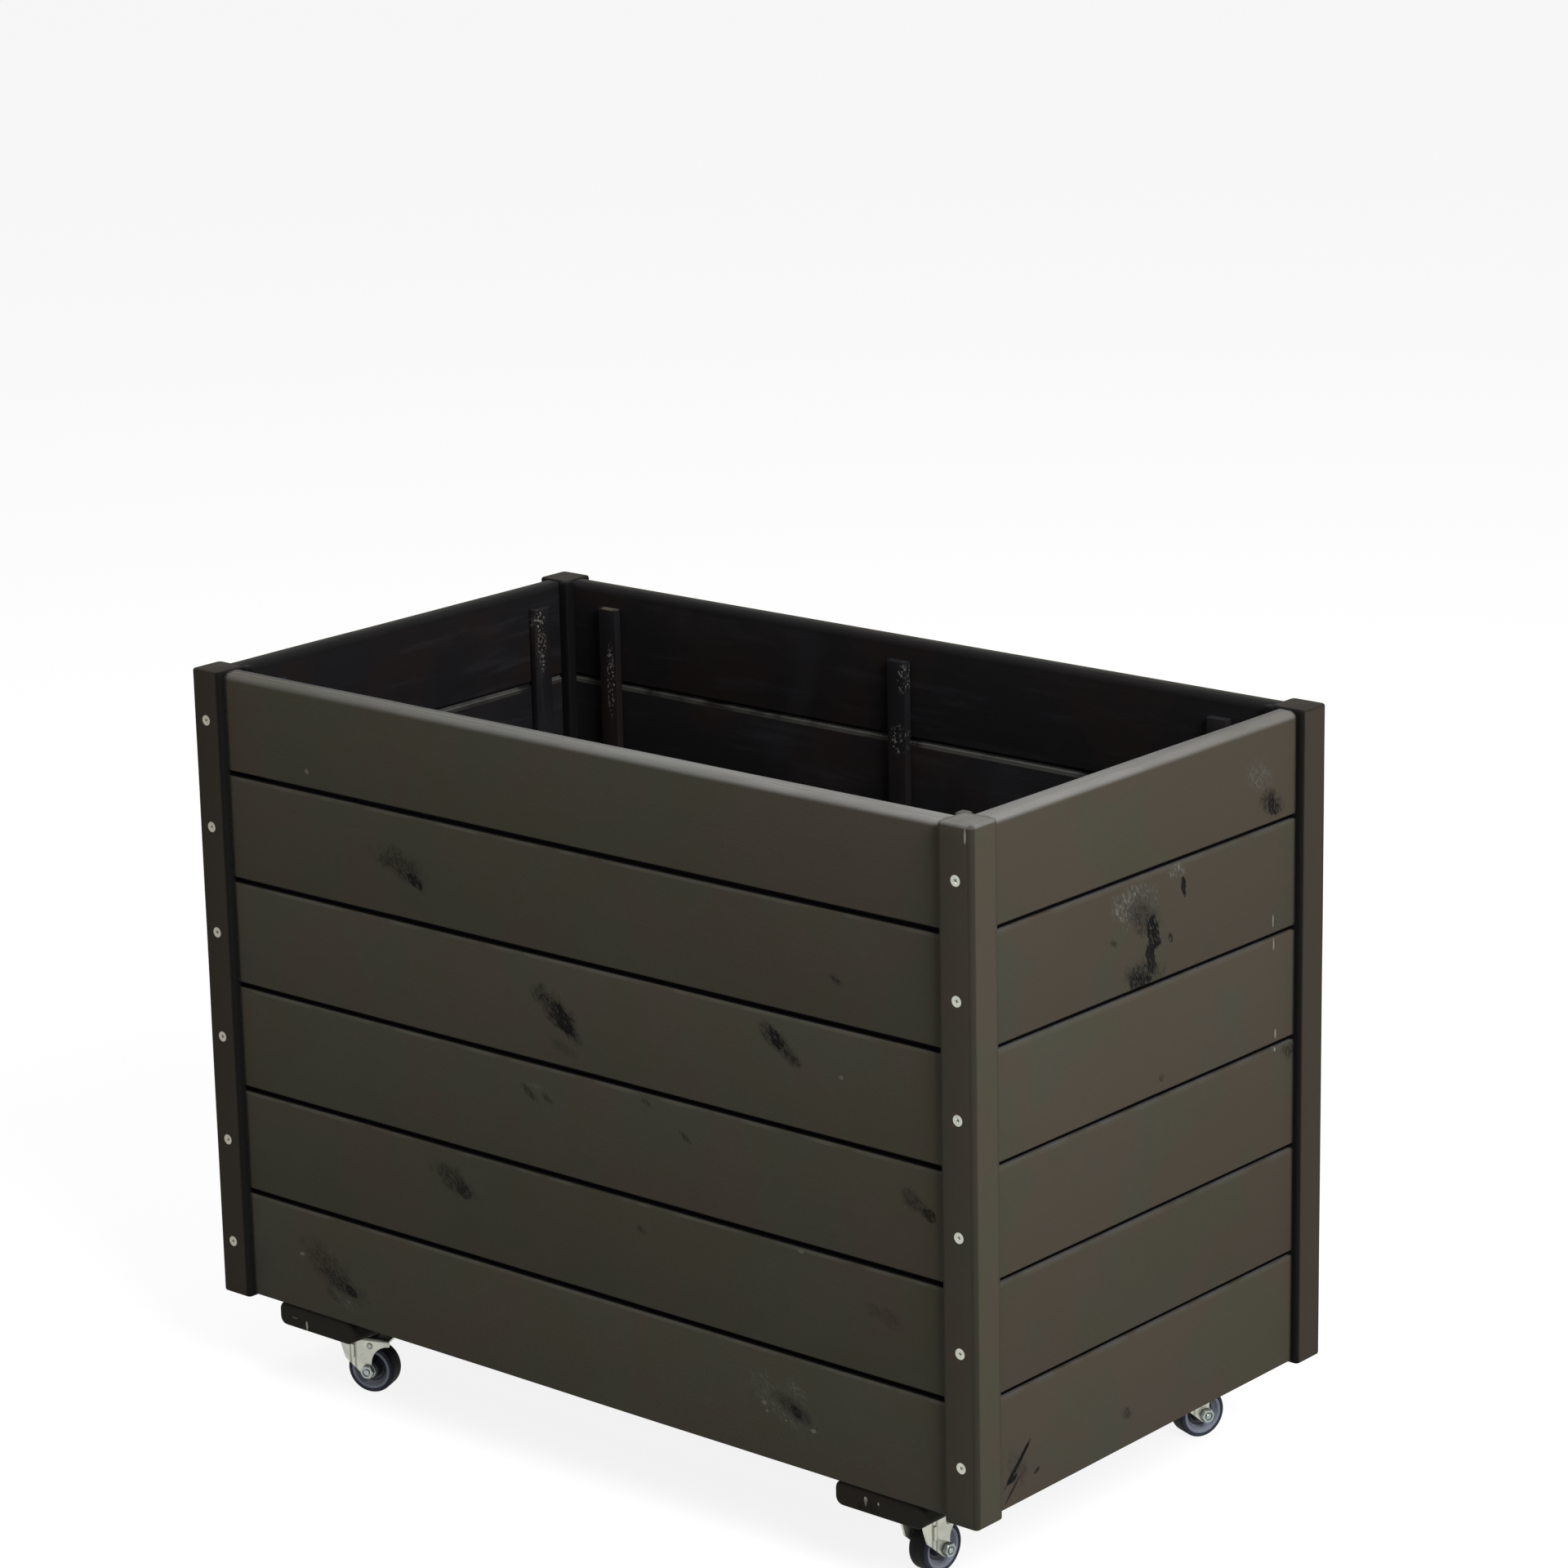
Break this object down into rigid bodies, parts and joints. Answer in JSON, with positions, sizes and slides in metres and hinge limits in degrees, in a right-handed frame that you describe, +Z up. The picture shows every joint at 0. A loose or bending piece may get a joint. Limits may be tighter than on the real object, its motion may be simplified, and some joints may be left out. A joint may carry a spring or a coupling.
{
  "type": "rolling planter",
  "caption": "Deep rectangular planter of dark tongue-and-groove boards between corner posts, open at the top, on bearers with swivel casters.",
  "frame": {"origin": "on the ground under the middle of the box", "axes": "+X along the long side, -Y is the front, +Z up; left and right are as seen from the front"},
  "size_m": [0.78, 0.43, 0.596],
  "materials": {
    "stained_wood": "softwood boards with a thin near-black stain, satin, grain and knots showing",
    "stained_wood_inside": "the same stain inside, darker and rougher, with bare specks on sawn edges",
    "zinc": "bright zinc plating",
    "dark_steel": "plain steel",
    "grey_wheel": "moulded grey plastic",
    "tyre_rubber": "black rubber tread"
  },
  "bodies": {
    "planter": {"post_front_left": "stained_wood", "post_front_right": "stained_wood", "post_back_left": "stained_wood", "post_back_right": "stained_wood", "front_board_1": "stained_wood", "front_board_2": "stained_wood", "front_board_3": "stained_wood", "front_board_4": "stained_wood", "front_board_5": "stained_wood", "front_board_6": "stained_wood", "back_board_1": "stained_wood", "back_board_2": "stained_wood", "back_board_3": "stained_wood", "back_board_4": "stained_wood", "back_board_5": "stained_wood", "back_board_6": "stained_wood", "left_board_1": "stained_wood", "left_board_2": "stained_wood", "left_board_3": "stained_wood", "left_board_4": "stained_wood", "left_board_5": "stained_wood", "left_board_6": "stained_wood", "right_board_1": "stained_wood", "right_board_2": "stained_wood", "right_board_3": "stained_wood", "right_board_4": "stained_wood", "right_board_5": "stained_wood", "right_board_6": "stained_wood", "long_wall_battens": "stained_wood_inside", "short_wall_battens": "stained_wood_inside", "floor_boards": "stained_wood_inside", "bearer_left": "stained_wood", "bearer_right": "stained_wood", "front_post_screws": "zinc", "back_post_screws": "zinc", "bearer_screws": "zinc", "caster_screws": "zinc", "caster_king_pins": "zinc", "batten_screws": "dark_steel", "caster_balls": "dark_steel", "caster_plate_front_left": "zinc", "caster_plate_front_right": "zinc", "caster_plate_back_left": "zinc", "caster_plate_back_right": "zinc"},
    "swivel_front_left": {"caster_fork_front_left": "zinc", "caster_axle_front_left": "zinc"},
    "wheel_front_left": {"caster_wheel_front_left": "grey_wheel", "caster_tyre_front_left": "tyre_rubber"},
    "swivel_front_right": {"caster_fork_front_right": "zinc", "caster_axle_front_right": "zinc"},
    "wheel_front_right": {"caster_wheel_front_right": "grey_wheel", "caster_tyre_front_right": "tyre_rubber"},
    "swivel_back_left": {"caster_fork_back_left": "zinc", "caster_axle_back_left": "zinc"},
    "wheel_back_left": {"caster_wheel_back_left": "grey_wheel", "caster_tyre_back_left": "tyre_rubber"},
    "swivel_back_right": {"caster_fork_back_right": "zinc", "caster_axle_back_right": "zinc"},
    "wheel_back_right": {"caster_wheel_back_right": "grey_wheel", "caster_tyre_back_right": "tyre_rubber"}
  },
  "joints": [
    {"name": "turn_front_left", "type": "hinge", "parent": "planter", "child": "swivel_front_left", "pos_m": [-0.284, -0.163, 0.045], "axis": [0, 0, 1], "continuous": true},
    {"name": "roll_front_left", "type": "hinge", "parent": "swivel_front_left", "child": "wheel_front_left", "pos_m": [-0.2746, -0.15958, 0.02], "axis": [-0.342, 0.9397, 0], "continuous": true},
    {"name": "turn_front_right", "type": "hinge", "parent": "planter", "child": "swivel_front_right", "pos_m": [0.3, -0.163, 0.045], "axis": [0, 0, 1], "continuous": true},
    {"name": "roll_front_right", "type": "hinge", "parent": "swivel_front_right", "child": "wheel_front_right", "pos_m": [0.30087, -0.15304, 0.02], "axis": [-0.9962, 0.0872, 0], "continuous": true},
    {"name": "turn_back_left", "type": "hinge", "parent": "planter", "child": "swivel_back_left", "pos_m": [-0.284, 0.163, 0.045], "axis": [0, 0, 1], "continuous": true},
    {"name": "roll_back_left", "type": "hinge", "parent": "swivel_back_left", "child": "wheel_back_left", "pos_m": [-0.27634, 0.16943, 0.02], "axis": [-0.6428, 0.766, 0], "continuous": true},
    {"name": "turn_back_right", "type": "hinge", "parent": "planter", "child": "swivel_back_right", "pos_m": [0.3, 0.163, 0.045], "axis": [0, 0, 1], "continuous": true},
    {"name": "roll_back_right", "type": "hinge", "parent": "swivel_back_right", "child": "wheel_back_right", "pos_m": [0.30342, 0.1724, 0.02], "axis": [-0.9397, 0.342, 0], "continuous": true}
  ]
}
